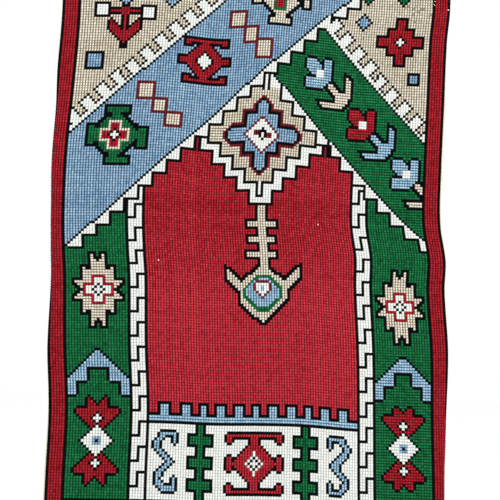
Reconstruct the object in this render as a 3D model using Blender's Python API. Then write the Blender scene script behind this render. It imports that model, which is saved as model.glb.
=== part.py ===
"""Wall rug: one piece of cross-stitched canvas, hung by its top edge.

Metres, +Z up. The origin is the middle of the top edge, on the back face, so the wall is the
plane Y = 0 and the worked face looks along -Y. The cloth is 150 stitches wide and 210 rows long.
It hangs a little unevenly: the columns sway, the rows sag, and both side edges roll back.
"""

import math

import bmesh
import bpy

# Driving dimensions
STITCH = 0.005                  # one cross stitch of the canvas, each way
COLUMNS = 150
ROWS = 210
WIDTH = COLUMNS * STITCH
HEIGHT = ROWS * STITCH
CLOTH_T = 0.003                 # canvas with its wool, front to back
HEM_T = 0.0045                  # where the canvas is turned back and doubled
HEM_W = 0.018                   # width of the turned-back hem, all round
HEM_STEP = 0.003                # the hem's edge slopes off over this width
ROLL_W = 0.018                  # width of the side strip that rolls back

# Lines of the mesh
ROLL_LINES = 6
LINE_PITCH = 0.030

MM = 0.001

# Sideways sway of the columns in mm, by distance down the rug. The five columns are named lines
# of the cloth, at the shares of its width in SWAY_ACROSS.
SWAY_ACROSS = (0.04, 0.30, 0.53, 0.77, 0.96)
SWAY = (
    # down   left  left_mid  middle  right_mid  right
    (0.000,   1.5,   9.0,      8.5,     7.0,     8.0),
    (0.080,   3.0,  10.5,      9.5,     6.0,     6.0),
    (0.140,   2.5,   8.0,      5.5,     0.0,    -0.5),
    (0.260,  -3.5,   1.5,     -1.0,    -6.0,    -6.5),
    (0.380, -11.0,  -5.5,     -8.0,   -12.0,   -12.5),
    (0.490, -11.5,  -7.0,    -10.0,   -14.0,   -14.5),
    (0.560,  -8.5,  -3.0,     -4.0,    -5.0,    -3.5),
    (0.620,  -4.0,   2.0,     -0.5,    -4.5,    -5.0),
    (0.740,   0.5,   6.5,      5.0,     2.5,     3.5),
    (0.860,   8.5,  13.5,     10.0,     5.5,     5.0),
    (0.980,   7.5,  13.0,     10.5,     7.0,     8.0),
    (1.050,   7.0,  13.5,     12.0,     9.0,     9.0),
)

# Sag of the rows in mm, below their level place, by distance down the rug. The eight columns are
# at the shares of its width in SAG_ACROSS.
SAG_ACROSS = (0.02, 0.20, 0.30, 0.40, 0.53, 0.63, 0.77, 0.98)
SAG = (
    # down   left  line_left  left_mid  waist_left  middle  waist_right  right_mid  right
    (0.000,   0.0,   0.0,        0.0,     0.0,    0.0,    0.0,    0.0,      0.0),
    (0.080,  -1.7,  -6.2,       -5.2,    -1.2,   -6.7,   -2.2,    3.3,      2.8),
    (0.320,   6.0,   2.0,        2.5,     7.5,    1.5,    7.0,   14.5,     15.5),
    (0.500,   8.4,   4.8,        5.2,     9.9,    8.3,    8.6,   16.6,     19.0),
    (0.600,   3.7,   0.8,        1.5,     5.3,    4.7,    3.7,   10.5,     13.4),
    (0.800,   3.0,   1.5,        2.5,     5.0,    4.0,    4.5,   11.5,     14.5),
    (1.050,   5.5,   5.5,        7.0,    10.0,    9.5,   11.0,   18.5,     22.5),
)

# The side edges, by distance down the rug: how far each rolls back, in degrees, and how far the
# folded canvas shows past the last stitch, in mm.
EDGES = (
    # down   left_roll  right_roll  left_canvas  right_canvas
    (0.000,     0.0,       0.0,        0.8,         0.8),
    (0.200,     0.0,       0.0,        0.8,         0.8),
    (0.300,    60.0,       0.0,        0.8,         3.0),
    (0.400,    80.0,       0.0,        0.8,         3.8),
    (0.500,   103.0,       0.0,        0.8,         1.5),
    (0.600,    85.0,       0.0,        0.8,         0.8),
    (0.700,    40.0,       0.0,        0.8,         0.8),
    (0.780,     0.0,      25.0,        0.8,         0.8),
    (0.900,     0.0,      75.0,        1.6,         0.8),
    (0.980,     0.0,     120.0,        3.0,         0.8),
    (1.050,     0.0,     130.0,        3.0,         0.8),
)

# The worked face's distance out from the wall, by distance down the rug, in mm.
FACE_OUT = (
    # down   out
    (0.000,  4.5),
    (0.022,  4.5),
    (0.030,  4.5),
    (0.080,  5.5),
    (0.200,  9.0),
    (0.350, 14.0),
    (0.500, 16.0),
    (0.650, 15.0),
    (0.800, 14.0),
    (0.950, 16.0),
    (1.050, 16.5),
)

# Soft folds down the cloth: middle and half width across, in metres, and height in mm at the top
# and at the bottom of the rug.
FOLDS = (
    # middle  half_width  top   bottom
    (0.135,    0.085,     0.0,   2.5),
    (0.330,    0.095,     0.0,  -2.0),
    (0.480,    0.080,     0.0,   2.0),
    (0.640,    0.075,     0.0,  -1.5),
)
FOLD_START = 0.060

# The slanting crease at the right edge: where it starts and ends, its half width and its height.
CREASE_FROM = (0.740, 0.505)
CREASE_TO = (0.560, 0.560)
CREASE_HALF_W = 0.032
CREASE_H = 0.0035


def smooth(t):
    """0 below 0, 1 above 1, and a soft step between."""
    t = min(max(t, 0.0), 1.0)
    return t * t * (3.0 - 2.0 * t)


def curve(xs, ys, x):
    """A soft curve through the points of a table (Catmull-Rom), level past its ends."""
    if x <= xs[0]:
        return ys[0]
    if x >= xs[-1]:
        return ys[-1]
    i = max(k for k in range(len(xs) - 1) if xs[k] <= x)
    last = len(xs) - 1
    span = xs[i + 1] - xs[i]
    before, after = max(i - 1, 0), min(i + 2, last)
    m0 = (ys[i + 1] - ys[before]) / (xs[i + 1] - xs[before]) * span
    m1 = (ys[after] - ys[i]) / (xs[after] - xs[i]) * span
    t = (x - xs[i]) / span
    a = (1.0 + 2.0 * t) * (1.0 - t) ** 2 * ys[i] + t * (1.0 - t) ** 2 * m0
    return a + t * t * (3.0 - 2.0 * t) * ys[i + 1] + t * t * (t - 1.0) * m1


def column(table, number, down):
    """The value of one column of a table at a distance down the rug."""
    return curve([row[0] for row in table], [row[number] for row in table], down)


def across_table(table, shares, across, down):
    """A table's value at a place on the cloth, soft both ways."""
    values = [column(table, k + 1, down) for k in range(len(shares))]
    return curve(shares, values, across / WIDTH)


def fold_height(across, down):
    """Height of the soft folds and the crease at a place on the cloth."""
    out = 0.0
    for middle, half_width, top, bottom in FOLDS:
        bump = math.exp(-((across - middle) / half_width) ** 2)
        grow = smooth((down - FOLD_START) / HEIGHT)
        out += bump * grow * (top + (bottom - top) * grow) * MM
    ax, ad = CREASE_FROM
    bx, bd = CREASE_TO
    length = math.hypot(bx - ax, bd - ad)
    ux, ud = (bx - ax) / length, (bd - ad) / length
    along = ((across - ax) * ux + (down - ad) * ud) / length
    off = (across - ax) * -ud + (down - ad) * ux
    fade = 1.0 - smooth(along)
    return out + CREASE_H * fade * math.exp(-(off / CREASE_HALF_W) ** 2)


def roll_back(past, angle):
    """Shortfall across and depth back of a strip of cloth that rolls back evenly to an angle."""
    if past <= 0.0 or angle < 1e-4:
        return 0.0, 0.0
    turned = angle * past / ROLL_W
    radius = ROLL_W / angle
    return past - radius * math.sin(turned), radius * (1.0 - math.cos(turned))


def worked_face(across, down):
    """Point of the worked face for a place on the flat cloth."""
    left_past = ROLL_W - across
    right_past = across - (WIDTH - ROLL_W)
    left_short, left_deep = roll_back(left_past, math.radians(column(EDGES, 1, down)))
    right_short, right_deep = roll_back(right_past, math.radians(column(EDGES, 2, down)))
    x = across - WIDTH / 2 + left_short - right_short
    x += across_table(SWAY, SWAY_ACROSS, across, down) * MM
    z = -down - across_table(SAG, SAG_ACROSS, across, down) * MM
    inner = min(max(across, ROLL_W), WIDTH - ROLL_W)
    out = column(FACE_OUT, 1, down) * MM + fold_height(inner, down)
    return x, -out + left_deep + right_deep, z


def across_lines(down):
    """Places of the mesh lines across the cloth at one height, from canvas edge to canvas edge."""
    left = -column(EDGES, 3, down) * MM
    right = WIDTH + column(EDGES, 4, down) * MM
    lines = [left + (ROLL_W - left) * k / ROLL_LINES for k in range(ROLL_LINES + 1)]
    start, end = ROLL_W + HEM_STEP, WIDTH - ROLL_W - HEM_STEP
    count = round((end - start) / LINE_PITCH)
    lines += [start + (end - start) * k / count for k in range(count + 1)]
    first = WIDTH - ROLL_W
    lines += [first + (right - first) * k / ROLL_LINES for k in range(ROLL_LINES + 1)]
    return lines


def down_lines():
    """Places of the mesh lines down the cloth."""
    start, end = HEM_W + HEM_STEP, HEIGHT - HEM_W - HEM_STEP
    count = round((end - start) / LINE_PITCH)
    middle = [start + (end - start) * k / count for k in range(count + 1)]
    return [0.0, HEM_W / 2, HEM_W] + middle + [HEIGHT - HEM_W, HEIGHT - HEM_W / 2, HEIGHT]


def wool_material():
    """Red wool, the colour of the field and the border."""
    material = bpy.data.materials.new("red_wool")
    material.use_nodes = True
    shader = material.node_tree.nodes["Principled BSDF"]
    shader.inputs["Base Color"].default_value = (0.36, 0.018, 0.032, 1.0)
    shader.inputs["Roughness"].default_value = 0.9
    shader.inputs["Metallic"].default_value = 0.0
    return material


def make_rug():
    """The whole cloth: its worked face as one sheet, made solid backwards, thicker at the hem."""
    mesh = bpy.data.meshes.new("rug_cloth")
    rug = bpy.data.objects.new("rug_cloth", mesh)
    bpy.context.scene.collection.objects.link(rug)
    rows = down_lines()
    sheet = bmesh.new()
    grid = [[sheet.verts.new(worked_face(a, d)) for a in across_lines(d)] for d in rows]
    for upper, lower in zip(grid, grid[1:]):
        for k in range(len(upper) - 1):
            sheet.faces.new((upper[k], lower[k], lower[k + 1], upper[k + 1]))
    sheet.to_mesh(mesh)
    sheet.free()
    hem = rug.vertex_groups.new(name="hem")
    per_row = len(grid[0])
    for r, down in enumerate(rows):
        for c in range(per_row):
            at_side = c <= ROLL_LINES or c >= per_row - 1 - ROLL_LINES
            at_end = down <= HEM_W or down >= HEIGHT - HEM_W
            if at_side or at_end:
                hem.add([r * per_row + c], 1.0, "REPLACE")
    solid = rug.modifiers.new("thickness", "SOLIDIFY")
    solid.thickness = HEM_T
    solid.offset = -1.0
    solid.use_even_offset = True
    solid.vertex_group = "hem"
    solid.thickness_vertex_group = CLOTH_T / HEM_T
    mesh.materials.append(wool_material())
    return rug


for old in list(bpy.data.objects):
    bpy.data.objects.remove(old, do_unlink=True)
make_rug()
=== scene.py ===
"""Looks of the wall rug: canvas, wool cross stitches front and back, and the studio round it.

Metres, +Z up, in the frame of the part: origin at the middle of the top edge on the back face,
worked face towards -Y. The pattern is charted below, one square to a stitch.
"""

import math

import bmesh
import bpy
import numpy as np
from mathutils import Matrix, Vector


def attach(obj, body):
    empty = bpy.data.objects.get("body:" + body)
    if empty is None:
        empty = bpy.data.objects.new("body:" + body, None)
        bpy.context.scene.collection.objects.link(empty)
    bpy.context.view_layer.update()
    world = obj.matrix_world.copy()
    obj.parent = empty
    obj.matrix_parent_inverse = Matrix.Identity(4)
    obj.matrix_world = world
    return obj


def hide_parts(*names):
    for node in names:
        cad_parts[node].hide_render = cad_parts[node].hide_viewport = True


# Driving dimensions, as in the part
STITCH = 0.005
COLUMNS = 150
ROWS = 210
WIDTH = COLUMNS * STITCH
HEIGHT = ROWS * STITCH
CLOTH_T = 0.003
HEM_T = 0.0045
HEM_W = 0.018
HEM_STEP = 0.003
ROLL_W = 0.018
ROLL_LINES = 6
MM = 0.001

SWAY_ACROSS = (0.04, 0.30, 0.53, 0.77, 0.96)
SWAY = (
    # down   left  left_mid  middle  right_mid  right
    (0.000,   1.5,   9.0,      8.5,     7.0,     8.0),
    (0.080,   3.0,  10.5,      9.5,     6.0,     6.0),
    (0.140,   2.5,   8.0,      5.5,     0.0,    -0.5),
    (0.260,  -3.5,   1.5,     -1.0,    -6.0,    -6.5),
    (0.380, -11.0,  -5.5,     -8.0,   -12.0,   -12.5),
    (0.490, -11.5,  -7.0,    -10.0,   -14.0,   -14.5),
    (0.560,  -8.5,  -3.0,     -4.0,    -5.0,    -3.5),
    (0.620,  -4.0,   2.0,     -0.5,    -4.5,    -5.0),
    (0.740,   0.5,   6.5,      5.0,     2.5,     3.5),
    (0.860,   8.5,  13.5,     10.0,     5.5,     5.0),
    (0.980,   7.5,  13.0,     10.5,     7.0,     8.0),
    (1.050,   7.0,  13.5,     12.0,     9.0,     9.0),
)

SAG_ACROSS = (0.02, 0.20, 0.30, 0.40, 0.53, 0.63, 0.77, 0.98)
SAG = (
    # down   left  line_left  left_mid  waist_left  middle  waist_right  right_mid  right
    (0.000,   0.0,   0.0,        0.0,     0.0,    0.0,    0.0,    0.0,      0.0),
    (0.080,  -1.7,  -6.2,       -5.2,    -1.2,   -6.7,   -2.2,    3.3,      2.8),
    (0.320,   6.0,   2.0,        2.5,     7.5,    1.5,    7.0,   14.5,     15.5),
    (0.500,   8.4,   4.8,        5.2,     9.9,    8.3,    8.6,   16.6,     19.0),
    (0.600,   3.7,   0.8,        1.5,     5.3,    4.7,    3.7,   10.5,     13.4),
    (0.800,   3.0,   1.5,        2.5,     5.0,    4.0,    4.5,   11.5,     14.5),
    (1.050,   5.5,   5.5,        7.0,    10.0,    9.5,   11.0,   18.5,     22.5),
)

EDGES = (
    # down   left_roll  right_roll  left_canvas  right_canvas
    (0.000,     0.0,       0.0,        0.8,         0.8),
    (0.200,     0.0,       0.0,        0.8,         0.8),
    (0.300,    60.0,       0.0,        0.8,         3.0),
    (0.400,    80.0,       0.0,        0.8,         3.8),
    (0.500,   103.0,       0.0,        0.8,         1.5),
    (0.600,    85.0,       0.0,        0.8,         0.8),
    (0.700,    40.0,       0.0,        0.8,         0.8),
    (0.780,     0.0,      25.0,        0.8,         0.8),
    (0.900,     0.0,      75.0,        1.6,         0.8),
    (0.980,     0.0,     120.0,        3.0,         0.8),
    (1.050,     0.0,     130.0,        3.0,         0.8),
)

FACE_OUT = (
    # down   out
    (0.000,  4.5),
    (0.022,  4.5),
    (0.030,  4.5),
    (0.080,  5.5),
    (0.200,  9.0),
    (0.350, 14.0),
    (0.500, 16.0),
    (0.650, 15.0),
    (0.800, 14.0),
    (0.950, 16.0),
    (1.050, 16.5),
)

FOLDS = (
    # middle  half_width  top   bottom
    (0.135,    0.085,     0.0,   2.5),
    (0.330,    0.095,     0.0,  -2.0),
    (0.480,    0.080,     0.0,   2.0),
    (0.640,    0.075,     0.0,  -1.5),
)
FOLD_START = 0.060
CREASE_FROM = (0.740, 0.505)
CREASE_TO = (0.560, 0.560)
CREASE_HALF_W = 0.032
CREASE_H = 0.0035

# Depths behind the worked face
CANVAS_FRONT = 0.0017
BACK_WOOL_T = 0.0006

# Heights in a modelled stitch, in mm over the worked face: below the first there is only flat wool
# and strand ends, below the second only strand ends
PAD_TOP = -1.1
ENDS_TOP = -1.18
# Share of its square that a stitch fills sideways; a gap stays open on both sides, where the underlay
# shows painted in shade
STITCH_SHARE = 0.82
STITCH_REACH = 1.16             # length of a stitch along the rib, in rows: the ends overlap a little
PAD_AT = -1.15

SEED = 41


def smooth(t):
    """0 below 0, 1 above 1, and a soft step between."""
    t = min(max(t, 0.0), 1.0)
    return t * t * (3.0 - 2.0 * t)


def curve(xs, ys, x):
    """A soft curve through the points of a table (Catmull-Rom), level past its ends."""
    if x <= xs[0]:
        return ys[0]
    if x >= xs[-1]:
        return ys[-1]
    i = max(k for k in range(len(xs) - 1) if xs[k] <= x)
    last = len(xs) - 1
    span = xs[i + 1] - xs[i]
    before, after = max(i - 1, 0), min(i + 2, last)
    m0 = (ys[i + 1] - ys[before]) / (xs[i + 1] - xs[before]) * span
    m1 = (ys[after] - ys[i]) / (xs[after] - xs[i]) * span
    t = (x - xs[i]) / span
    a = (1.0 + 2.0 * t) * (1.0 - t) ** 2 * ys[i] + t * (1.0 - t) ** 2 * m0
    return a + t * t * (3.0 - 2.0 * t) * ys[i + 1] + t * t * (t - 1.0) * m1


def column(table, number, down):
    """The value of one column of a table at a distance down the rug."""
    return curve([row[0] for row in table], [row[number] for row in table], down)


def fold_height(across, down):
    """Height of the soft folds and the crease at a place on the cloth."""
    out = 0.0
    for middle, half_width, top, bottom in FOLDS:
        bump = math.exp(-((across - middle) / half_width) ** 2)
        grow = smooth((down - FOLD_START) / HEIGHT)
        out += bump * grow * (top + (bottom - top) * grow) * MM
    ax, ad = CREASE_FROM
    bx, bd = CREASE_TO
    length = math.hypot(bx - ax, bd - ad)
    ux, ud = (bx - ax) / length, (bd - ad) / length
    along = ((across - ax) * ux + (down - ad) * ud) / length
    off = (across - ax) * -ud + (down - ad) * ux
    fade = 1.0 - smooth(along)
    return out + CREASE_H * fade * math.exp(-(off / CREASE_HALF_W) ** 2)


def roll_back(past, angle):
    """Shortfall across and depth back of a strip of cloth that rolls back evenly to an angle."""
    if past <= 0.0 or angle < 1e-4:
        return 0.0, 0.0
    turned = angle * past / ROLL_W
    radius = ROLL_W / angle
    return past - radius * math.sin(turned), radius * (1.0 - math.cos(turned))


def worked_row(down, places):
    """Points of the worked face for a list of places across the cloth, at one distance down."""
    left_angle = math.radians(column(EDGES, 1, down))
    right_angle = math.radians(column(EDGES, 2, down))
    sway = [column(SWAY, k + 1, down) for k in range(len(SWAY_ACROSS))]
    sag = [column(SAG, k + 1, down) for k in range(len(SAG_ACROSS))]
    base = column(FACE_OUT, 1, down) * MM
    points = []
    for across in places:
        left_short, left_deep = roll_back(ROLL_W - across, left_angle)
        right_short, right_deep = roll_back(across - (WIDTH - ROLL_W), right_angle)
        share = across / WIDTH
        x = across - WIDTH / 2 + left_short - right_short
        x += curve(SWAY_ACROSS, sway, share) * MM
        z = -down - curve(SAG_ACROSS, sag, share) * MM
        inner = min(max(across, ROLL_W), WIDTH - ROLL_W)
        out = base + fold_height(inner, down)
        points.append((x, -out + left_deep + right_deep, z))
    return points


def sheet_normals(points):
    """Outward unit directions of a lattice of points (rows, columns, 3), towards the viewer."""
    along = np.gradient(points, axis=1)
    down = np.gradient(points, axis=0)
    out = np.cross(down, along)
    return out / np.linalg.norm(out, axis=2, keepdims=True)


# The chart: one square to a stitch, columns from the left and rows from the top.
# Places are in stitches, so the square of column c covers c to c + 1.
BLACK, RED, MAROON, GREEN, BLUE, PALE, BEIGE, WHITE, CREAM, DARK_RED = range(10)

chart = np.full((ROWS, COLUMNS), DARK_RED, dtype=int)
at_row, at_col = np.mgrid[0:ROWS, 0:COLUMNS]
mid_u = at_col + 0.5
mid_v = at_row + 0.5


def rect(c0, c1, r0, r1):
    """Squares of columns c0 to c1 and rows r0 to r1, ends included."""
    return (at_col >= c0) & (at_col <= c1) & (at_row >= r0) & (at_row <= r1)


def lozenge(c, r, reach):
    """Squares within a number of single steps of one square."""
    return np.abs(at_col - c) + np.abs(at_row - r) <= reach


def diamond(u, v, half_u, half_v):
    """Squares with their middle inside a diamond of any proportions."""
    return np.abs(mid_u - u) / half_u + np.abs(mid_v - v) / half_v <= 1.0


def shape(*points):
    """Squares with their middle inside a many-sided shape."""
    mask = np.zeros_like(mid_u, dtype=bool)
    for (u0, v0), (u1, v1) in zip(points, points[1:] + points[:1]):
        if v0 == v1:
            continue
        crosses = (mid_v >= min(v0, v1)) & (mid_v < max(v0, v1))
        edge = u0 + (mid_v - v0) * (u1 - u0) / (v1 - v0)
        mask ^= crosses & (mid_u < edge)
    return mask


def stroke(half, *points):
    """Squares with their middle within a distance of a broken line."""
    mask = np.zeros_like(mid_u, dtype=bool)
    for (u0, v0), (u1, v1) in zip(points, points[1:]):
        du, dv = u1 - u0, v1 - v0
        t = np.clip(((mid_u - u0) * du + (mid_v - v0) * dv) / (du * du + dv * dv), 0.0, 1.0)
        mask |= np.hypot(mid_u - u0 - t * du, mid_v - v0 - t * dv) <= half
    return mask


def steps(*squares):
    """Squares on straight lines from square to square, one square a step."""
    mask = np.zeros_like(mid_u, dtype=bool)
    for (c0, r0), (c1, r1) in zip(squares, squares[1:]):
        count = max(abs(c1 - c0), abs(r1 - r0), 1)
        for k in range(count + 1):
            c = c0 + round((c1 - c0) * k / count)
            r = r0 + round((r1 - r0) * k / count)
            if 0 <= c < COLUMNS and 0 <= r < ROWS:
                mask[r, c] = True
    return mask


def around(mask, corners):
    """The squares next to a shape, with or without those that only touch by a corner."""
    grown = mask.copy()
    grown[1:] |= mask[:-1]
    grown[:-1] |= mask[1:]
    sides = grown.copy() if corners else mask
    grown[:, 1:] |= sides[:, :-1]
    grown[:, :-1] |= sides[:, 1:]
    return grown & ~mask


def work(mask, yarn, edge=None, corners=True, inside=None):
    """Work a shape in one yarn, with a one-stitch edge in another if it has one."""
    if edge is not None:
        ring = around(mask, corners)
        chart[ring if inside is None else ring & inside] = edge
    chart[mask if inside is None else mask & inside] = yarn


# The inside of the border: everything that the pattern may cover
LAST_ROW = 203                  # the lowest row of the pattern, above the black line
PATTERN = rect(7, 142, 7, LAST_ROW)

# Bottom right corners of the white triangles under the blue band, from left to right
LEFT_STAIR = (
    (13, 112), (18, 107), (23, 103), (28, 98), (33, 93), (38, 88), (43, 83), (48, 78), (53, 73),
    (58, 68), (63, 63), (68, 58), (73, 53), (78, 49), (83, 44), (88, 40), (93, 35), (98, 30),
    (103, 25), (109, 20), (114, 16), (119, 11), (124, 6),
)
# Bottom left corners of the white triangles under the green band, from left to right
RIGHT_STAIR = (
    (81, 50), (86, 54), (91, 59), (96, 64), (101, 69), (106, 73), (111, 78), (116, 83), (121, 88),
    (126, 93), (131, 98), (136, 103), (141, 108),
)
# Top stitches of the hooked white edging above each band
LEFT_HOOKS = (
    (62, 5), (57, 10), (52, 15), (47, 20), (42, 25), (37, 30), (32, 35), (27, 40), (22, 44),
    (17, 49), (12, 54), (7, 59), (2, 64),
)
RIGHT_HOOKS = (
    (100, 15), (105, 20), (110, 25), (115, 30), (120, 35), (124, 40), (129, 45), (134, 50),
    (139, 55), (144, 60),
)
TRIANGLE = 5


def chart_borders():
    """The red edge with its black lines, the three long fields and the key-patterned stripes."""
    work(rect(0, 149, 0, 209), BLACK)
    work(rect(1, 148, 1, 208), DARK_RED)
    work(rect(6, 143, 6, LAST_ROW + 1), BLACK)
    work(rect(7, 28, 7, LAST_ROW), GREEN)
    work(rect(30, 34, 7, LAST_ROW), WHITE)
    work(rect(36, 114, 7, LAST_ROW), RED)
    work(rect(116, 120, 7, LAST_ROW), WHITE)
    work(rect(122, 142, 7, LAST_ROW), GREEN)
    for k in range(12):
        top = 95 + 9 * k
        work(rect(33, 34, top, top), BLACK)
        work(rect(32, 32, top, top + 5), BLACK)
        work(rect(30, 31, top + 5, top + 5), BLACK)
    for k in range(13):
        top = 85 + 9 * k
        work(rect(119, 120, top, top), BLACK)
        work(rect(118, 118, top, top + 5), BLACK)
        work(rect(116, 117, top + 5, top + 5), BLACK)
    work(rect(36, 114, LAST_ROW + 1, LAST_ROW + 1), BLACK)


def chart_grounds():
    """The ground colours of the two corners and the two bands."""
    work(shape((101, 26), (96, 26), (125, 2), (143, 6), (143, 68)), BEIGE, inside=PATTERN)
    low = [(u + TRIANGLE, v) for u, v in RIGHT_STAIR]
    band = shape((78, 45), *low, (143, 108), (143, 68), (102, 25), (96, 25), (84, 36))
    work(band, GREEN, inside=PATTERN)
    low = [(u - TRIANGLE, v) for u, v in LEFT_STAIR]
    work(shape((7, 66), (7, 113), *low, (140, 7), (66, 7)), BLUE, inside=PATTERN)
    work(at_col + at_row <= 75, BEIGE, inside=PATTERN)


def chart_left_band():
    """The white triangles under the blue band."""
    for u, v in LEFT_STAIR:
        square = rect(u - TRIANGLE, u - 1, v - TRIANGLE, v - 1)
        chart[rect(u - TRIANGLE, u, v, v) & PATTERN] = BLACK
        chart[rect(u, u, v - TRIANGLE, v) & PATTERN] = BLACK
        slope = rect(u - TRIANGLE - 1, u - 1, v - TRIANGLE, v - 1)
        slope &= at_col + at_row == u + v - TRIANGLE - 2
        chart[slope & PATTERN] = BLACK
        work(square & (at_col + at_row > u + v - TRIANGLE - 2), WHITE, inside=PATTERN)


def hook_path(tops, side):
    """The zigzag of a hooked edging, as squares: side is -1 where it runs down to the left."""
    path = []
    for c, r in tops:
        path += [(c, r), (c + 3 * side, r + 3), (c, r + 6), (c + 2 * side, r + 8)]
    return path


def chart_left_hooks():
    """The hooked white edging between the beige corner and the blue band."""
    path = hook_path(LEFT_HOOKS, -1)
    ends = [(c + 0.5, r + 0.5) for c, r in path]
    white = shape(*ends, (7.0, 69.5), (30.5, 46.5), (70.5, 6.5))
    work(white, WHITE, inside=PATTERN)
    chart[steps(*path) & PATTERN] = BLACK
    chart[steps((5, 70), (31, 44), (32, 44), (71, 5)) & PATTERN] = BLACK


def chart_right_band():
    """The white triangles under the green band."""
    for u, v in RIGHT_STAIR:
        square = rect(u, u + TRIANGLE - 1, v - TRIANGLE, v - 1)
        work(square & (at_col - at_row <= u - v + TRIANGLE), WHITE, inside=PATTERN)
        chart[rect(u - 1, u + TRIANGLE - 1, v, v) & PATTERN] = BLACK
        chart[rect(u - 1, u - 1, v - TRIANGLE, v) & PATTERN] = BLACK
        slope = rect(u, u + TRIANGLE, v - TRIANGLE, v - 1)
        slope &= at_col - at_row == u - v + TRIANGLE + 1
        chart[slope & PATTERN] = BLACK


def chart_right_hooks():
    """The hooked white edging between the beige corner and the green band."""
    path = hook_path(RIGHT_HOOKS[1:], 1)
    path = [(103, 22)] + path
    ends = [(c + 0.5, r + 0.5) for c, r in path]
    white = shape(*ends, (143.0, 67.0), (102.0, 26.0))
    work(white, WHITE, inside=PATTERN & ~rect(0, 101, 0, 209))
    chart[steps(*path) & PATTERN] = BLACK
    chart[steps((101, 25), (145, 69)) & PATTERN] = BLACK


def chart_top_left():
    """The beige corner: hanging triangles, the anchor between two squares, a blue square."""
    for tip in (23, 40, 57):
        hanging = (np.abs(at_col - tip) <= 19 - at_row) & (at_row <= 19)
        work(hanging & (at_col + at_row < 64), BLUE, BLACK, corners=False, inside=PATTERN)
    work(rect(13, 16, 20, 23), WHITE, BLACK)
    work(rect(30, 33, 21, 24), WHITE, BLACK)
    anchor = rect(18, 28, 22, 22) | rect(22, 24, 21, 23) | rect(23, 23, 24, 32)
    reach = np.abs(at_col - 23)
    arms = (reach <= 5) & (at_row >= 31 - reach) & (at_row <= 34 - reach)
    work(arms, DARK_RED, BLACK, corners=False)
    work(anchor, DARK_RED, BLACK, corners=False)
    work(arms, DARK_RED)
    work(rect(22, 24, 35, 36), BLACK)
    work(rect(11, 15, 39, 43), BLUE, BLACK)


def chart_top_right():
    """The beige corner on the right: hanging triangles, diamond, stepped cross, blue square."""
    for tip in (117, 131):
        hanging = np.abs(at_col - tip) <= 13 - at_row
        work(hanging & (at_row <= 14), GREEN, BLACK, corners=False, inside=PATTERN)
    work(lozenge(116, 21, 2), BLUE, BLACK, corners=False)
    cross = rect(130, 132, 20, 36) | rect(127, 135, 24, 32) | rect(123, 139, 27, 29)
    work(cross, DARK_RED, BLACK)
    work(lozenge(131, 28, 1), WHITE, BLACK, corners=False)
    work(rect(136, 138, 41, 43), BLUE, BLACK)


def chart_blue_band():
    """The figures on the blue band."""
    body = lozenge(23, 69, 9)
    bars = rect(20, 27, 59, 60) | rect(21, 28, 78, 79) | rect(14, 15, 66, 72) | rect(32, 34, 67, 73)
    necks = rect(22, 24, 61, 77) | rect(16, 31, 68, 70)
    work(body | bars | necks, GREEN, BLACK)
    for c in (20, 26):
        work(rect(c, c + 1, 61, 62), BLACK)
        work(rect(c, c + 1, 76, 77), BLACK)
    work(rect(16, 17, 65, 66) | rect(16, 17, 72, 73) | rect(30, 31, 65, 66), BLACK)
    work(rect(30, 31, 72, 73), BLACK)
    work(rect(22, 24, 65, 73) | rect(19, 27, 68, 70), DARK_RED, CREAM)
    work(lozenge(23, 69, 2), BLACK)
    work(lozenge(23, 69, 1), WHITE)
    squares = (
        rect(31, 35, 50, 54), rect(37, 40, 56, 59), rect(42, 46, 61, 64),
        rect(64, 68, 21, 25), rect(70, 73, 27, 31), rect(75, 79, 32, 37),
    )
    for square in squares:
        work(square, CREAM, MAROON)
    hooks = rect(47, 62, 32, 32) | rect(47, 48, 32, 33) | rect(61, 62, 32, 33)
    hooks |= rect(47, 62, 47, 47) | rect(47, 48, 46, 47) | rect(61, 62, 46, 47)
    arms = rect(45, 63, 39, 40)
    work(hooks | arms, DARK_RED, BLACK)
    work(diamond(54.5, 40.0, 8.0, 7.5), DARK_RED, BLACK, corners=False)
    work(hooks | arms, DARK_RED)
    work(diamond(54.5, 40.0, 3.3, 3.3), WHITE, BLACK, corners=False)
    chart_band_top()


def chart_band_top():
    """The small vase figure near the top of the blue band, the same above and below its middle."""
    off = np.abs(at_row - 16)
    work((off <= 5) & (np.abs(mid_u - 83.0) <= 7.4 - off), CREAM, BLACK)
    for rows in ((8, 9), (23, 24)):
        work(rect(79, 86, *rows), CREAM, BLACK)
    work(rect(81, 84, 10, 22), CREAM)
    work(rect(72, 74, 15, 16), CREAM, BLACK)
    work(rect(92, 93, 15, 17), CREAM, BLACK)
    work(rect(80, 84, 13, 19), GREEN)
    work(rect(81, 83, 14, 18), DARK_RED)


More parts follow.
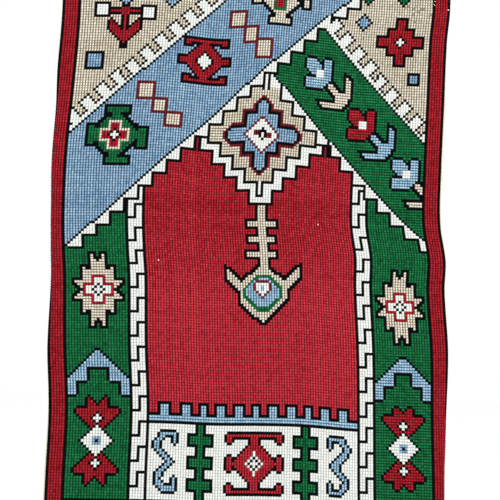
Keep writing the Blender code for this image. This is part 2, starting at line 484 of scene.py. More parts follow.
def chart_tulip(c, r, petals, stem):
    """A tulip on the green band, by the column and row of its upper left square."""
    flower = rect(c, c + 9, r, r + 10)
    flower &= ~shape((c + 3.9, r - 0.1), (c + 7.3, r - 0.1), (c + 7.3, r + 4.8))
    flower &= ~shape((c - 0.1, r + 3.9), (c - 0.1, r + 7.3), (c + 4.8, r + 7.3))
    flower &= ~shape((c + 10.1, r + 7.6), (c + 10.1, r + 11.1), (c + 6.5, r + 11.1))
    leaves = shape(
        (c + 7.9, r + 9.4), (c + 9.4, r + 8.2), (c + 13.6, r + 11.9), (c + 16.2, r + 11.9),
        (c + 16.2, r + 6.2), (c + 17.2, r + 6.2), (c + 18.2, r + 7.4), (c + 18.2, r + 13.6),
        (c + 14.4, r + 17.9), (c + 7.6, r + 17.9), (c + 6.0, r + 16.9), (c + 6.0, r + 15.9),
        (c + 11.6, r + 15.9), (c + 11.6, r + 13.4),
    )
    work(leaves, stem, BLACK, inside=PATTERN)
    chart[(rect(c + 15, c + 15, r + 4, r + 6) | rect(c + 4, c + 6, r + 15, r + 15)) & PATTERN] = BLACK
    work(flower, petals, BLACK, corners=False, inside=PATTERN)
    work(rect(c + 4, c + 6, r + 4, r + 6), WHITE)


def chart_medallion():
    """The stepped medallion with its white outline, blue cross and small diamond."""
    work(rect(53, 106, 69, 73) | rect(60, 98, 73, 78) | rect(65, 93, 78, 83), BLACK)
    work(rect(70, 88, 83, 88) | rect(75, 84, 88, 93), BLACK)
    work(rect(56, 63, 70, 72) | rect(61, 97, 71, 77) | rect(66, 92, 76, 82), WHITE)
    work(rect(71, 87, 81, 87) | rect(76, 83, 86, 92) | rect(95, 102, 71, 72), WHITE)
    work(rect(56, 57, 69, 72) | rect(101, 102, 70, 72), WHITE)
    work(rect(54, 54, 69, 73) | rect(104, 104, 70, 73), MAROON)
    work(rect(58, 94, 63, 70) | rect(95, 100, 64, 70), BLACK)
    work(rect(63, 94, 70, 75) | rect(68, 89, 75, 80), BLACK)
    work(rect(73, 84, 80, 85) | rect(78, 80, 85, 90), BLACK)
    cloth = rect(74, 84, 50, 53) | rect(69, 84, 54, 57) | rect(85, 89, 55, 58)
    cloth |= rect(64, 89, 59, 62) | rect(69, 84, 58, 58) | rect(90, 94, 60, 63)
    cloth |= rect(59, 94, 64, 69) | rect(95, 99, 65, 69) | rect(64, 89, 63, 63)
    cloth |= rect(64, 93, 70, 74) | rect(69, 88, 75, 79) | rect(74, 83, 80, 84)
    work(cloth, BEIGE)
    work(rect(78, 80, 45, 50), BLACK)
    work(rect(79, 79, 45, 50) | rect(79, 79, 85, 89), WHITE)
    lobes = rect(77, 80, 56, 79) | rect(67, 91, 65, 69) | rect(73, 84, 60, 73)
    lobes |= rect(78, 79, 55, 55) | rect(78, 79, 80, 80) | rect(66, 66, 66, 68) | rect(92, 92, 66, 68)
    black = around(lobes, False)
    for c, r in ((72, 59), (85, 59), (72, 74), (85, 74)):
        black |= rect(c, c, r, r)
    maroon = around(lobes | black, False)
    for c, r in ((71, 58), (86, 58), (71, 75), (86, 75)):
        maroon |= rect(c, c, r, r)
    work(maroon, MAROON)
    work(black, BLACK)
    work(lobes, BLUE)
    work(diamond(79.2, 67.6, 6.3, 6.2), WHITE, MAROON, corners=False)
    work(rect(76, 77, 66, 67) | rect(81, 82, 67, 68), MAROON)
    work(rect(78, 80, 66, 68) | rect(79, 79, 65, 69), BLACK)
    work(rect(79, 79, 67, 68), WHITE)


def chart_lamp():
    """The pole with its three crossbars and the hanging amulet below."""
    pole = rect(79, 81, 94, 118)
    bars = rect(75, 85, 100, 101) | rect(75, 84, 106, 107) | rect(74, 84, 112, 113)
    body = shape(
        (79.0, 117.0), (82.0, 117.0), (82.4, 118.6), (87.9, 123.6), (92.8, 118.4), (94.0, 118.4),
        (94.0, 121.2), (88.8, 126.4), (88.8, 130.2), (79.8, 139.2), (79.2, 139.2), (70.8, 130.8),
        (70.8, 127.0), (66.0, 122.9), (66.0, 119.0), (66.9, 119.0), (71.8, 123.8), (77.2, 119.0),
        (78.6, 117.6),
    )
    work(pole | bars | body, CREAM, BLACK)
    work(rect(65, 65, 117, 119) | rect(94, 94, 116, 118) | rect(78, 80, 93, 93), BLACK)
    green = diamond(79.7, 127.8, 9.4, 9.0) & (np.abs(mid_u - 79.7) <= 7.6)
    blue = diamond(79.8, 127.6, 7.8, 7.2) & (np.abs(mid_u - 79.8) <= 6.6)
    work(green & (np.abs(mid_v - 127.9) <= 7.2), GREEN)
    work(blue & (np.abs(mid_v - 127.6) <= 5.4), PALE)
    spear = shape((77.0, 124.0), (82.0, 124.0), (82.0, 126.0), (79.6, 128.6), (77.0, 126.3))
    work(spear, WHITE, MAROON, corners=False)
    work(rect(79, 79, 125, 126), PALE)


def chart_star(c, r):
    """An eight-armed star round a white cross, by its middle square."""
    star = rect(c - 5, c + 5, r - 7, r + 7) | rect(c - 2, c + 2, r - 11, r + 11)
    for side in (-1, 1):
        for end in (-1, 1):
            tip = c + 2 * side
            star |= rect(tip, tip, r + 12 * end, r + 12 * end) | rect(tip, tip, r + 13 * end, r + 13 * end)
            star |= rect(c + 5 * side, c + 5 * side, r + 8 * end, r + 8 * end)
            for k in range(3):
                reach = sorted((c + 6 * side, c + (6 + k) * side))
                star |= rect(reach[0], reach[1], r + (k + 1) * end, r + (k + 1) * end)
    star[r - 11, c] = False
    star[r + 11, c] = False
    work(star, CREAM, BLACK)
    work(rect(c - 1, c + 1, r - 4, r + 4) | rect(c - 4, c + 4, r - 1, r + 1), WHITE, DARK_RED)
    ring = lozenge(c, r, 2) & ~lozenge(c, r, 1)
    work(ring, BLACK)


def chart_gable(middle, top, inner, bottom):
    """A pale blue gable on two legs: its middle in stitches, its top row, inner step and foot."""
    reach = np.abs(mid_u - middle)
    roof = (at_row >= top) & (at_row <= top + 10) & (reach <= at_row - top + 1.0)
    roof &= ~((at_row >= inner) & (reach < 3.9))
    legs = (at_row > top + 4) & (at_row <= bottom) & (reach > 7.9)
    legs &= reach <= at_row - top + 1.0
    gable = ((roof & (at_row < inner + 5)) | legs) & (reach <= 10.6)
    work(gable, PALE, BLACK, corners=False, inside=PATTERN)


def chart_fish(c, r, reach):
    """Two red fish nose to nose with a white diamond between them, by the middle square."""
    for end in (-1, 1):
        red = np.zeros_like(mid_u, dtype=bool)
        for far in range(13, reach + 1):
            row = r + far * end
            near = far - 12
            red |= rect(c - 3, c - near, row, row) | rect(c + near, c + 3, row, row)
        for far, wide in ((12, 3), (11, 7), (10, 7), (9, 6), (8, 5), (7, 4), (6, 3), (5, 2)):
            row = r + far * end
            red |= rect(c - wide, c + wide, row, row)
        work(red, DARK_RED, BLACK, corners=False, inside=PATTERN)
        work(lozenge(c, r + 8 * end, 1), WHITE, BLACK, corners=False)
        work(rect(c, c, *sorted((r + 6 * end, r + 5 * end))), BLACK)
    work(lozenge(c, r, 5), WHITE, BLACK, corners=False)
    work(rect(c - 1, c + 1, r - 1, r + 1), BLUE)
    work(rect(c, c, r, r), BLACK)


def chart_foot():
    """The blue comb and the white panel below it with its hooks, green crosses and red figure."""
    teeth = ((40, 42), (48, 50), (55, 56), (61, 63), (68, 70), (75, 76), (81, 83), (88, 90),
             (95, 96), (101, 103), (108, 110))
    comb = rect(36, 114, 174, 175)
    for first, last in teeth:
        comb |= rect(first, last, 170, 175)
    field = rect(36, 114, 7, LAST_ROW)
    work(rect(36, 114, 176, LAST_ROW), WHITE)
    work(comb, PALE, BLACK, inside=field)
    left_hook = ((45.5, 183.5), (45.5, 180.5), (41.5, 180.5), (38.6, 183.9), (38.9, 185.6),
                 (43.9, 190.2), (39.4, 195.6), (39.6, 197.8), (41.9, 199.8), (45.5, 199.8), (45.5, 197.0))
    right_hook = ((104.5, 183.4), (104.5, 180.5), (108.5, 180.5), (110.9, 183.4), (110.5, 185.4),
                  (106.0, 190.0), (110.6, 195.2), (110.2, 197.4), (108.2, 199.5), (104.5, 199.5),
                  (104.5, 196.6))
    for path in (left_hook, right_hook):
        work(stroke(0.85, *path), PALE, BLACK, corners=False)
    for stem in (54, 94):
        cross = rect(stem, stem + 1, 177, LAST_ROW)
        for top in (181, 189, 197):
            cross |= rect(stem - 3, stem + 4, top, top + 2)
        work(cross, GREEN, BLACK, inside=rect(36, 114, 177, LAST_ROW))
    figure = rect(65, 85, 180, 180) | rect(65, 85, 200, 200) | lozenge(75, 190, 8)
    for c in (65, 84):
        figure |= rect(c, c + 1, 180, 182) | rect(c, c + 1, 188, 192) | rect(c, c + 1, 198, 200)
    figure |= rect(67, 83, 190, 190) | rect(74, 76, 181, 199)
    work(figure, RED, BLACK, corners=False)
    work(lozenge(75, 190, 3) | rect(75, 75, 186, 194), WHITE)
    work(lozenge(75, 190, 2) & ~lozenge(75, 190, 1), BLACK)


def make_chart():
    """The whole pattern, from the ground colours to the small figures."""
    chart_borders()
    chart_grounds()
    chart_left_band()
    chart_left_hooks()
    chart_right_band()
    chart_right_hooks()
    chart_top_left()
    chart_top_right()
    chart_blue_band()
    chart_tulip(95, 37, PALE, CREAM)
    chart_tulip(113, 55, DARK_RED, PALE)
    chart_tulip(131, 73, PALE, CREAM)
    chart_medallion()
    chart_lamp()
    chart_star(18, 128)
    chart_star(132, 130)
    chart_gable(18.0, 151, 157, 166)
    chart_gable(132.5, 150, 155, 164)
    chart_fish(17, 183, 15)
    chart_fish(132, 182, 14)
    chart_foot()
    work(rect(143, 143, 6, LAST_ROW + 1) | rect(6, 6, 6, LAST_ROW + 1), BLACK)


make_chart()


# Where the wool was worked along the rows instead of down the columns
along_rows = shape((81, 44), (143, 106), (143, 67), (101, 25)) | rect(122, 142, 148, LAST_ROW)
along_rows |= rect(59, 72, 64, 74) | rect(36, 114, 174, 175)
along_rows |= rect(8, 28, 114, 142) & (chart == CREAM)


def soft_noise(count, pitch, chance):
    """Soft random values along a line, one every pitch stitches, between -1 and 1."""
    knots = chance.uniform(-1.0, 1.0, int(count / pitch) + 3)
    return np.interp(np.arange(count) / pitch, np.arange(len(knots)), knots)


def yarn_shades(chance):
    """How light each stitch is, 0 to 1: its own chance, and the dye lots down and across.

    The red field is a little darker down to row 105, grows lighter to row 130 and stays so down to row
    172.
    """
    shade = 0.5 + 0.17 * chance.standard_normal((ROWS, COLUMNS))
    shade += 0.10 * soft_noise(COLUMNS, 1.3, chance)[None, :]
    shade += 0.10 * soft_noise(ROWS, 1.6, chance)[:, None]
    shade += 0.04 * soft_noise(COLUMNS, 9.0, chance)[None, :]
    shade += 0.04 * soft_noise(ROWS, 11.0, chance)[:, None]
    lower = np.clip((at_row - 105) / 25.0, 0.0, 1.0)
    shade += np.where((chart == RED) & (at_row < 172), 0.34 * lower - 0.08, 0.0)
    return np.clip(shade, 0.0, 1.0)


def yarn_stains(chance):
    """How much light each stitch keeps: the beige corner at the upper right has small dark marks."""
    marks = diamond(138.0, 14.0, 10.0, 8.0) & (chart == BEIGE)
    marks &= chance.random((ROWS, COLUMNS)) < 0.12
    return np.where(marks, 0.40, 1.0)


def open_edit(condition):
    """Go into edit mode with only the points of a condition selected."""
    bpy.ops.object.mode_set(mode="EDIT")
    bpy.ops.mesh.select_mode(type="VERT")
    bpy.ops.mesh.select_all(action="DESELECT")
    cage = bmesh.from_edit_mesh(bpy.context.object.data)
    for vert in cage.verts:
        vert.select = condition(vert.co)
    cage.select_flush_mode()
    bmesh.update_edit_mesh(bpy.context.object.data)


def read_piece(obj):
    """Points and four-sided faces of a small modelled piece, as arrays; the piece is then removed."""
    points = np.array([tuple(v.co) for v in obj.data.vertices])
    faces = np.array([tuple(p.vertices) for p in obj.data.polygons])
    bpy.data.objects.remove(obj, do_unlink=True)
    return points, faces


def model_strand(parts, width, edge, ridge, ends, taper, turn):
    """One strand of wool over a unit square: a ridged band that dips into the holes at its ends.

    Lengths across are in stitches. Heights are in mm over the worked face.
    """
    bpy.ops.object.select_all(action="DESELECT")
    bpy.ops.mesh.primitive_grid_add(x_subdivisions=parts, y_subdivisions=2, size=1.0)
    strand = bpy.context.object
    open_edit(lambda co: True)
    bpy.ops.transform.resize(value=(1.36, width, 1.0), center_override=(0.0, 0.0, 0.0))
    bpy.ops.transform.translate(value=(0.0, 0.0, edge))
    bpy.ops.object.mode_set(mode="OBJECT")
    open_edit(lambda co: abs(co.y) < 0.01 and abs(co.x) < 0.6)
    bpy.ops.transform.translate(value=(0.0, 0.0, ridge - edge))
    bpy.ops.object.mode_set(mode="OBJECT")
    open_edit(lambda co: abs(co.x) > 0.6)
    bpy.ops.transform.translate(value=(0.0, 0.0, ends - edge))
    bpy.ops.transform.resize(value=(1.0, taper, 1.0), center_override=(0.0, 0.0, 0.0))
    bpy.ops.object.mode_set(mode="OBJECT")
    lengthwise = np.array([(v.co.x, v.co.y) for v in strand.data.vertices])
    open_edit(lambda co: True)
    bpy.ops.transform.rotate(
        value=math.radians(turn), orient_axis="Z", center_override=(0.0, 0.0, 0.0)
    )
    bpy.ops.object.mode_set(mode="OBJECT")
    points, faces = read_piece(strand)
    return points, faces, lengthwise


def model_back_strand():
    """The short strand that shows on the back of a stitch, over a unit square, height in mm."""
    bpy.ops.object.select_all(action="DESELECT")
    bpy.ops.mesh.primitive_grid_add(x_subdivisions=2, y_subdivisions=1, size=1.0)
    strand = bpy.context.object
    open_edit(lambda co: True)
    bpy.ops.transform.resize(value=(0.74, 1.04, 1.0), center_override=(0.0, 0.0, 0.0))
    bpy.ops.object.mode_set(mode="OBJECT")
    open_edit(lambda co: abs(co.x) < 0.01)
    bpy.ops.transform.translate(value=(0.0, 0.0, BACK_WOOL_T / MM))
    bpy.ops.object.mode_set(mode="OBJECT")
    lengthwise = np.array([(v.co.y, v.co.x) for v in strand.data.vertices])
    points, faces = read_piece(strand)
    return points, faces, lengthwise


def model_underlay():
    """The flat wool under the crossing strands, over a unit square, height in mm: it lies so low that its
    colour is painted nearly all in shade.
    """
    bpy.ops.object.select_all(action="DESELECT")
    bpy.ops.mesh.primitive_grid_add(x_subdivisions=1, y_subdivisions=1, size=1.0)
    pad = bpy.context.object
    open_edit(lambda co: True)
    bpy.ops.transform.translate(value=(0.0, 0.0, PAD_AT))
    bpy.ops.object.mode_set(mode="OBJECT")
    lengthwise = np.array([(v.co.x, v.co.y) for v in pad.data.vertices])
    points, faces = read_piece(pad)
    return points, faces, lengthwise


def join_parts(*parts):
    """Several modelled parts as one pattern piece: its points, faces and places along the strands."""
    points, faces, lengthwise = [], [], []
    start = 0
    for part_points, part_faces, part_lengthwise in parts:
        points.append(part_points)
        faces.append(part_faces + start)
        lengthwise.append(part_lengthwise)
        start += len(part_points)
    return np.vstack(points), np.vstack(faces), np.vstack(lengthwise)


def hem_share(across, down):
    """1 over the turned-back hem, 0 over the single cloth, and a slope between."""
    edge = np.minimum(np.minimum(across, WIDTH - across), np.minimum(down, HEIGHT - down))
    return np.clip((HEM_W + HEM_STEP - edge) / HEM_STEP, 0.0, 1.0)


def spread(values, rows, cols, s, t):
    """Values at the holes of the canvas, carried over to places inside the squares."""
    upper = values[rows, cols][:, None] * (1.0 - s) + values[rows, cols + 1][:, None] * s
    lower = values[rows + 1, cols][:, None] * (1.0 - s) + values[rows + 1, cols + 1][:, None] * s
    return upper * (1.0 - t) + lower * t


def build_mesh(name, place, faces, index, yarns):
    """A mesh from copied points (copies, points, 3) and the faces of one copy."""
    count, size = place.shape[:2]
    copies = (faces[None] + (np.arange(count) * size)[:, None, None]).reshape(-1, 4)
    mesh = bpy.data.meshes.new(name)
    mesh.vertices.add(count * size)
    mesh.vertices.foreach_set("co", place.reshape(-1).astype(np.float32))
    mesh.loops.add(copies.size)
    mesh.loops.foreach_set("vertex_index", copies.reshape(-1).astype(np.int32))
    mesh.polygons.add(len(copies))
    mesh.polygons.foreach_set("loop_start", np.arange(0, copies.size, 4, dtype=np.int32))
    mesh.polygons.foreach_set("material_index", np.repeat(index, len(faces)).astype(np.int32))
    mesh.update(calc_edges=True)
    mesh.polygons.foreach_set("use_smooth", np.ones(len(copies), dtype=bool))
    for yarn in yarns:
        mesh.materials.append(yarn)
    return mesh, copies.reshape(-1)


def lay_stitches(name, pattern, mask, cloth, yarns, chance, behind=False):
    """One joined mesh of a stitch copied to every square of a mask, front or back.

    cloth holds the points and outward directions at the holes of the canvas, the shades of the
    stitches and their stains.
    """
    lattice, out, shades, stains = cloth
    points, faces, lengthwise = pattern
    squares = np.argwhere(mask)
    rows, cols = squares[:, 0], squares[:, 1]
    count, size = len(squares), len(points)
    turned = along_rows[rows, cols][:, None]
    high = np.tile(points[:, 2], (count, 1))
    pad = high < PAD_TOP
    wide = np.where(pad & ~(high < ENDS_TOP), 1.0, STITCH_SHARE)
    tall = np.where(pad | behind, 1.0, STITCH_REACH)
    s = np.where(turned, points[None, :, 1] * tall, points[None, :, 0] * wide)
    t = np.where(turned, points[None, :, 0] * wide, -points[None, :, 1] * tall)
    slack = np.where(pad, 0.0, 0.025)
    s = s + slack * chance.standard_normal((count, 1))
    t = t + slack * chance.standard_normal((count, 1))
    s = np.clip(s + 0.5, -0.10, 1.10)[..., None]
    t = np.clip(t + 0.5, -0.10, 1.10)[..., None]
    high = high + np.where(pad, 0.0, 0.06) * chance.standard_normal((count, 1))
    deep = high * MM
    if behind:
        share = hem_share((cols[:, None] + s[..., 0]) * STITCH, (rows[:, None] + t[..., 0]) * STITCH)
        deep = -(CLOTH_T + (HEM_T - CLOTH_T) * share - BACK_WOOL_T + deep)
        faces = faces[:, ::-1]
    place = spread(lattice, rows, cols, s, t) + spread(out, rows, cols, s, t) * deep[..., None]
    used = sorted(set(chart[rows, cols]))
    index = np.searchsorted(used, chart[rows, cols])
    mesh, corners = build_mesh(name, place, faces, index, [yarns[y] for y in used])
    shade = mesh.attributes.new("shade", "FLOAT", "POINT")
    shade.data.foreach_set("value", np.repeat(shades[rows, cols], size).astype(np.float32))
    # Painted shade: each point of a front stitch is coloured darker the lower it lies, down to the strand
    # ends in the holes; the back is painted even. The stains multiplied in are real marks.
    light = np.ones((count, size)) if behind else np.clip((high + 1.2) / 1.3, 0.0, 1.0)
    light = light * stains[rows, cols][:, None]
    depth = mesh.attributes.new("depth", "FLOAT", "POINT")
    depth.data.foreach_set("value", light.reshape(-1).astype(np.float32))
    strand = mesh.uv_layers.new(name="strand")
    uv = np.tile(lengthwise, (count, 1)) + np.repeat(chance.uniform(0, 9, (count, 2)), size, axis=0)
    strand.data.foreach_set("uv", uv[corners].reshape(-1).astype(np.float32))
    piece = bpy.data.objects.new(name, mesh)
    bpy.context.scene.collection.objects.link(piece)
    return piece


def linear(red, green, blue):
    """A colour as painters give it, 0 to 255, in the linear values that shaders take."""
    values = []
    for part in (red, green, blue):
        share = part / 255.0
        values.append(share / 12.92 if share <= 0.04045 else ((share + 0.055) / 1.055) ** 2.4)
    return (*values, 1.0)


def mix_in(nodes, links, share, source, base):
    """A node that adds a share of one value to another."""
    node = nodes.new("ShaderNodeMath")
    node.operation = "MULTIPLY_ADD"
    node.inputs[1].default_value = share
    links.new(source, node.inputs[0])
    links.new(base, node.inputs[2])
    return node.outputs["Value"]


def wool(name, dark, light, painted_shade_floor=0.10, sheen=0.02):
    """Matt twisted wool between a dark and a light tone of one dye.

    hollow is how much of its colour the wool keeps where it lies deepest between the strands, where it is
    painted in shade.
    """
    material = bpy.data.materials.new(name)
    material.use_nodes = True
    nodes, links = material.node_tree.nodes, material.node_tree.links
    shader = nodes["Principled BSDF"]
    shader.inputs["Roughness"].default_value = 0.9
    shader.inputs["Specular IOR Level"].default_value = 0.04
    shader.inputs["Sheen Weight"].default_value = sheen
    shader.inputs["Sheen Roughness"].default_value = 0.6
    shade = nodes.new("ShaderNodeAttribute")
    shade.attribute_name = "shade"
    less = nodes.new("ShaderNodeMath")
    less.operation = "MULTIPLY"
    less.inputs[1].default_value = 0.6
    links.new(shade.outputs["Fac"], less.inputs[0])
    place = nodes.new("ShaderNodeTexCoord")
    fibre = nodes.new("ShaderNodeTexNoise")
    fibre.inputs["Scale"].default_value = 700.0
    fibre.inputs["Detail"].default_value = 2.0
    links.new(place.outputs["Object"], fibre.inputs["Vector"])
    strand = nodes.new("ShaderNodeUVMap")
    strand.uv_map = "strand"
    turn = nodes.new("ShaderNodeMapping")
    turn.inputs["Rotation"].default_value = (0.0, 0.0, math.radians(38))
    links.new(strand.outputs["UV"], turn.inputs["Vector"])
    twist = nodes.new("ShaderNodeTexWave")
    twist.inputs["Scale"].default_value = 1.3
    twist.inputs["Distortion"].default_value = 1.0
    links.new(turn.outputs["Vector"], twist.inputs["Vector"])
    tone = mix_in(nodes, links, 0.25, fibre.outputs["Fac"], less.outputs["Value"])
    # Painted shade: the twist also darkens the colour a little down in the grooves between the plies,
    # where its bump lies low
    tone = mix_in(nodes, links, 0.15, twist.outputs["Fac"], tone)
    dye = nodes.new("ShaderNodeValToRGB")
    dye.color_ramp.elements[0].position = 0.2
    dye.color_ramp.elements[0].color = linear(*dark)
    dye.color_ramp.elements[1].position = 0.8
    dye.color_ramp.elements[1].color = linear(*light)
    links.new(tone, dye.inputs["Fac"])
    # Painted shade: the colour is scaled by depth, from the hollow value deep between the strands up to
    # full on the ridges
    depth = nodes.new("ShaderNodeAttribute")
    depth.attribute_name = "depth"
    lit = nodes.new("ShaderNodeMapRange")
    lit.inputs["To Min"].default_value = painted_shade_floor
    links.new(depth.outputs["Fac"], lit.inputs["Value"])
    shadow = nodes.new("ShaderNodeVectorMath")
    shadow.operation = "SCALE"
    links.new(dye.outputs["Color"], shadow.inputs[0])
    links.new(lit.outputs["Result"], shadow.inputs["Scale"])
    links.new(shadow.outputs["Vector"], shader.inputs["Base Color"])
    relief = nodes.new("ShaderNodeBump")
    relief.inputs["Strength"].default_value = 0.6
    relief.inputs["Distance"].default_value = 0.0003
    links.new(twist.outputs["Fac"], relief.inputs["Height"])
    links.new(relief.outputs["Normal"], shader.inputs["Normal"])
    return material


def canvas_cotton():
    """Stiff unbleached cotton canvas, two threads between the holes each way."""
    material = bpy.data.materials.new("canvas_cotton")
    material.use_nodes = True
    nodes, links = material.node_tree.nodes, material.node_tree.links
    shader = nodes["Principled BSDF"]
    shader.inputs["Roughness"].default_value = 0.95
    shader.inputs["Specular IOR Level"].default_value = 0.2
    weave = nodes.new("ShaderNodeUVMap")
    weave.uv_map = "weave"
    split = nodes.new("ShaderNodeSeparateXYZ")
    links.new(weave.outputs["UV"], split.inputs["Vector"])
    threads = []
    for axis in ("X", "Y"):
        wave = nodes.new("ShaderNodeMath")
        wave.operation = "MULTIPLY"
        wave.inputs[1].default_value = 2.0 * math.pi * 2.0
        links.new(split.outputs[axis], wave.inputs[0])
        swing = nodes.new("ShaderNodeMath")
        swing.operation = "COSINE"
        links.new(wave.outputs["Value"], swing.inputs[0])
        threads.append(swing)
    over = nodes.new("ShaderNodeMath")
    over.operation = "MAXIMUM"
    links.new(threads[0].outputs["Value"], over.inputs[0])
    links.new(threads[1].outputs["Value"], over.inputs[1])
    # Painted shade: the canvas colour follows the thread waves, lighter on their crests and darker down
    # between them and in the holes
    dye = nodes.new("ShaderNodeValToRGB")
    dye.color_ramp.elements[0].position = 0.0
    dye.color_ramp.elements[0].color = linear(150, 140, 120)
    dye.color_ramp.elements[1].position = 0.8
    dye.color_ramp.elements[1].color = linear(222, 214, 196)
    links.new(over.outputs["Value"], dye.inputs["Fac"])
    links.new(dye.outputs["Color"], shader.inputs["Base Color"])
    relief = nodes.new("ShaderNodeBump")
    relief.inputs["Strength"].default_value = 0.7
    relief.inputs["Distance"].default_value = 0.0005
    links.new(over.outputs["Value"], relief.inputs["Height"])
    links.new(relief.outputs["Normal"], shader.inputs["Normal"])
    return material


def plain(name, colour, roughness):
    """A plain matt finish for the studio."""
    material = bpy.data.materials.new(name)
    material.use_nodes = True
    shader = material.node_tree.nodes["Principled BSDF"]
    shader.inputs["Base Color"].default_value = linear(*colour)
    shader.inputs["Roughness"].default_value = roughness
    return material


def make_yarns():
    """The wool of every yarn number of the chart."""
    return {
        BLACK: wool("black_wool", (1, 1, 3), (15, 14, 18), sheen=0.005),
        RED: wool("red_wool", (155, 17, 28), (203, 52, 66)),
        MAROON: wool("maroon_wool", (84, 12, 22), (132, 34, 46)),
        GREEN: wool("green_wool", (5, 80, 40), (28, 127, 74)),
        BLUE: wool("blue_wool", (105, 144, 180), (163, 196, 219), painted_shade_floor=0.08),
        PALE: wool("pale_blue_wool", (118, 160, 192), (176, 212, 232), painted_shade_floor=0.08),
        BEIGE: wool("beige_wool", (190, 178, 152), (232, 224, 206)),
        WHITE: wool("white_wool", (210, 214, 208), (235, 238, 232), painted_shade_floor=0.40),
        CREAM: wool("cream_wool", (202, 190, 168), (238, 230, 212)),
        DARK_RED: wool("dark_red_wool", (138, 8, 18), (183, 38, 51)),
    }


def canvas_places(down):
    """Places of the canvas lines across the cloth at one height, folded edge to folded edge."""
    left = -column(EDGES, 3, down) * MM
    right = WIDTH + column(EDGES, 4, down) * MM
    places = [left + (ROLL_W - left) * k / ROLL_LINES for k in range(ROLL_LINES + 1)]
    start, end = ROLL_W + HEM_STEP, WIDTH - ROLL_W - HEM_STEP
    places += [start + (end - start) * k / 70 for k in range(71)]
    first = WIDTH - ROLL_W
    places += [first + (right - first) * k / ROLL_LINES for k in range(ROLL_LINES + 1)]
    return places


def make_canvas():
    """The canvas under the wool, its four edges turned back as a thicker hem."""
    start, end = HEM_W + HEM_STEP, HEIGHT - HEM_W - HEM_STEP
    middle = [start + (end - start) * k / 100 for k in range(101)]
    downs = [0.0, HEM_W / 2, HEM_W] + middle + [HEIGHT - HEM_W, HEIGHT - HEM_W / 2, HEIGHT]
    rows, per_row = len(downs), len(canvas_places(0.0))
    face = np.array([worked_row(d, canvas_places(d)) for d in downs])
    face -= sheet_normals(face) * CANVAS_FRONT
    bpy.ops.object.select_all(action="DESELECT")
    bpy.ops.mesh.primitive_grid_add(x_subdivisions=per_row - 1, y_subdivisions=rows - 1, size=1.0)
    canvas = bpy.context.object
    canvas.name = "rug_canvas"
    mesh = canvas.data
    hem = canvas.vertex_groups.new(name="hem")
    for layer in list(mesh.uv_layers):
        mesh.uv_layers.remove(layer)
    weave = mesh.uv_layers.new(name="weave")
    at = []
    for vert in mesh.vertices:
        c = round((vert.co.x + 0.5) * (per_row - 1))
        r = round((0.5 - vert.co.y) * (rows - 1))
        at.append((canvas_places(downs[r])[c] / STITCH, downs[r] / STITCH))
        vert.co = face[r, c]
        at_side = c <= ROLL_LINES or c >= per_row - 1 - ROLL_LINES
        if at_side or downs[r] <= HEM_W or downs[r] >= HEIGHT - HEM_W:
            hem.add([vert.index], 1.0, "REPLACE")
    for loop in mesh.loops:
        weave.data[loop.index].uv = at[loop.vertex_index]
    solid = canvas.modifiers.new("thickness", "SOLIDIFY")
    solid.thickness = HEM_T - CANVAS_FRONT - BACK_WOOL_T
    solid.offset = -1.0
    solid.use_even_offset = True
    solid.vertex_group = "hem"
    solid.thickness_vertex_group = (CLOTH_T - CANVAS_FRONT - BACK_WOOL_T) / solid.thickness
    bpy.ops.object.modifier_apply(modifier="thickness")
    rounded = canvas.modifiers.new("folded_edge", "BEVEL")
    rounded.width = 0.0006
    rounded.segments = 2
    rounded.limit_method = "ANGLE"
    rounded.angle_limit = math.radians(60)
    bpy.ops.object.modifier_apply(modifier="folded_edge")
    mesh.polygons.foreach_set("use_smooth", np.ones(len(mesh.polygons), dtype=bool))
    mesh.materials.clear()
    mesh.materials.append(canvas_cotton())
    canvas.location = (0.0, 0.0, 0.0)
    return canvas


# Loose pale thread ends and flecks of fluff: column, row, length in mm, width in mm, turn in degrees
LOOSE_ENDS = (
    # column  row   length  width  turn
    (143.6,  13.8,   5.5,    1.0,    40),
    (142.7,  16.2,   4.2,    0.9,   -35),
    (143.7,  12.4,   2.2,    1.6,     0),
    (149.2,  15.5,   3.4,    2.4,    20),
    (40.5,  117.0,   3.0,    2.2,    60),
    (102.5, 100.0,   2.6,    1.8,    10),
)


def make_loose_ends(out, yarn):
    """The few loose ends and flecks that lie on the face, joined as one piece."""
    ends = []
    for c, r, length, width, turn in LOOSE_ENDS:
        bpy.ops.object.select_all(action="DESELECT")
        bpy.ops.mesh.primitive_uv_sphere_add(segments=8, ring_count=6, radius=0.5)
        end = bpy.context.object
        open_edit(lambda co: True)
        bpy.ops.transform.resize(
            value=(length * MM, width * MM, width * MM * 0.7), center_override=(0.0, 0.0, 0.0)
        )
        bpy.ops.transform.rotate(
            value=math.radians(turn), orient_axis="Z", center_override=(0.0, 0.0, 0.0)
        )
        bpy.ops.object.mode_set(mode="OBJECT")
        ahead = Vector(out[int(r), int(c)])
        across = Vector((1.0, 0.0, 0.0))
        up = ahead.cross(across).normalized()
        across = up.cross(ahead)
        place = Vector(worked_row(r * STITCH, [c * STITCH])[0]) + ahead * 0.0004
        turned = Matrix((across, up, ahead)).transposed()
        for vert in end.data.vertices:
            vert.co = turned @ vert.co + place
        ends.append(end)
    bpy.ops.object.select_all(action="DESELECT")
    for end in ends:
        end.select_set(True)
    bpy.context.view_layer.objects.active = ends[0]
    bpy.ops.object.join()
    piece = bpy.context.object
    piece.name = "loose_ends"
    mesh = piece.data
    mesh.uv_layers[0].name = "strand"
    # The loose ends keep their whole colour: depth 1.0 gives them no painted shade
    for name, value in (("shade", 0.8), ("depth", 1.0)):
        layer = mesh.attributes.new(name, "FLOAT", "POINT")
        layer.data.foreach_set("value", np.full(len(mesh.vertices), value, dtype=np.float32))
    mesh.polygons.foreach_set("use_smooth", np.ones(len(mesh.polygons), dtype=bool))
    mesh.materials.append(yarn)
    return piece


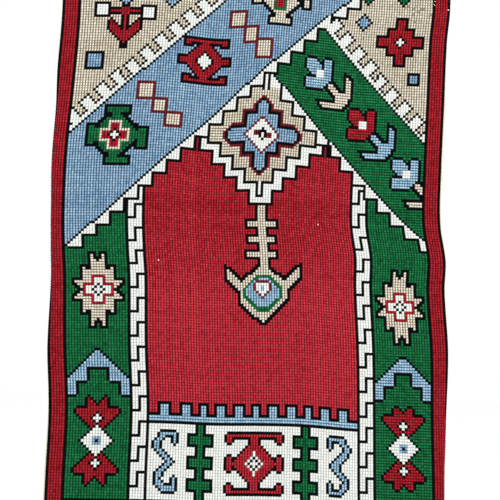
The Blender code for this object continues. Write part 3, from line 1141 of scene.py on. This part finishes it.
def make_wool(yarns):
    """All the wool: cross stitches on the worked face and their short strands on the back."""
    chance = np.random.default_rng(SEED)
    places = [k * STITCH for k in range(COLUMNS + 1)]
    lattice = np.array([worked_row(r * STITCH, places) for r in range(ROWS + 1)])
    out = sheet_normals(lattice)
    cloth = (lattice, out, yarn_shades(chance), yarn_stains(chance))
    under = model_strand(2, 0.56, -0.70, -0.10, -1.2, 0.8, 45)
    over = model_strand(3, 0.56, -0.50, 0.35, -1.2, 0.8, -45)
    stitch = join_parts(model_underlay(), under, over)
    groups = {
        "field_wool": chart == RED,
        "edge_wool": chart == DARK_RED,
        "green_wool": chart == GREEN,
        "blue_wool": (chart == BLUE) | (chart == PALE),
        "light_wool": (chart == BEIGE) | (chart == CREAM) | (chart == WHITE),
        "dark_wool": (chart == BLACK) | (chart == MAROON),
    }
    pieces = [lay_stitches(n, stitch, m, cloth, yarns, chance) for n, m in groups.items()]
    back = model_back_strand()
    pieces.append(lay_stitches("back_wool", back, chart >= 0, cloth, yarns, chance, behind=True))
    pieces.append(make_loose_ends(out, yarns[CREAM]))
    return pieces


def make_stage():
    """A pale floor well below the rug."""
    bpy.ops.object.select_all(action="DESELECT")
    bpy.ops.mesh.primitive_plane_add(size=12.0, location=(0.0, 0.0, -1.45))
    floor = bpy.context.object
    floor.name = "studio_floor"
    floor.data.materials.append(plain("floor_white", (252, 252, 252), 0.9))


def add_light(name, place, aim, size, power):
    """A soft square light at a place, turned to an aim."""
    lamp = bpy.data.lights.new(name, "AREA")
    lamp.energy = power
    lamp.size = size
    holder = bpy.data.objects.new(name, lamp)
    bpy.context.scene.collection.objects.link(holder)
    holder.location = place
    holder.rotation_euler = (Vector(aim) - Vector(place)).to_track_quat("-Z", "Y").to_euler()


def light_studio():
    """Soft light from the front, a little stronger from the upper left, on a white ground."""
    world = bpy.data.worlds.new("studio")
    bpy.context.scene.world = world
    world.use_nodes = True
    world.node_tree.nodes["Background"].inputs["Color"].default_value = (1.0, 1.0, 1.0, 1.0)
    world.node_tree.nodes["Background"].inputs["Strength"].default_value = 1.0
    add_light("key_light", (-1.2, -1.9, 0.7), (0.0, 0.0, -0.55), 1.0, 40.0)
    add_light("fill_light", (1.7, -1.9, -0.1), (0.0, 0.0, -0.55), 1.4, 38.0)
    bpy.context.scene.view_settings.view_transform = "Standard"


# The camera of the photo: turned 3 degrees right, tipped 4.2 degrees up, rolled 1.3 degrees
CAMERA_PLACE = (-0.0846, -1.5792, -0.6793)
CAMERA_YAW = 3.0
CAMERA_PITCH = 4.243
CAMERA_ROLL = 1.274
CAMERA_LENS = 60.0


def add_camera():
    """The camera at the photo's viewing angle."""
    yaw, pitch, roll = (math.radians(a) for a in (CAMERA_YAW, CAMERA_PITCH, CAMERA_ROLL))
    ahead = Vector((math.sin(yaw) * math.cos(pitch), math.cos(yaw) * math.cos(pitch), math.sin(pitch)))
    level = Vector((math.cos(yaw), -math.sin(yaw), 0.0))
    above = level.cross(ahead)
    right = level * math.cos(roll) + above * math.sin(roll)
    up = above * math.cos(roll) - level * math.sin(roll)
    data = bpy.data.cameras.new("camera")
    data.lens = CAMERA_LENS
    data.sensor_width = 36.0
    data.sensor_fit = "HORIZONTAL"
    camera = bpy.data.objects.new("camera", data)
    bpy.context.scene.collection.objects.link(camera)
    turn = Matrix((right, up, -ahead)).transposed()
    camera.rotation_euler = turn.to_euler()
    camera.location = CAMERA_PLACE
    bpy.context.scene.camera = camera


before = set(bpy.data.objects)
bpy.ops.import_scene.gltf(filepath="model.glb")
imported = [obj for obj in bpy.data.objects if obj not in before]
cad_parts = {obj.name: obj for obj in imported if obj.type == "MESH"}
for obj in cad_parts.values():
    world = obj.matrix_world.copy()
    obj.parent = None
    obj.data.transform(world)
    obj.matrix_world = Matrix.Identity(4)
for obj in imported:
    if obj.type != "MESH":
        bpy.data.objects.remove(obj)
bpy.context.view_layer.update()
yarns = make_yarns()
canvas = make_canvas()
wool_pieces = make_wool(yarns)
for piece in [canvas] + wool_pieces:
    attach(piece, "root")
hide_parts("rug_cloth")
make_stage()
light_studio()
add_camera()
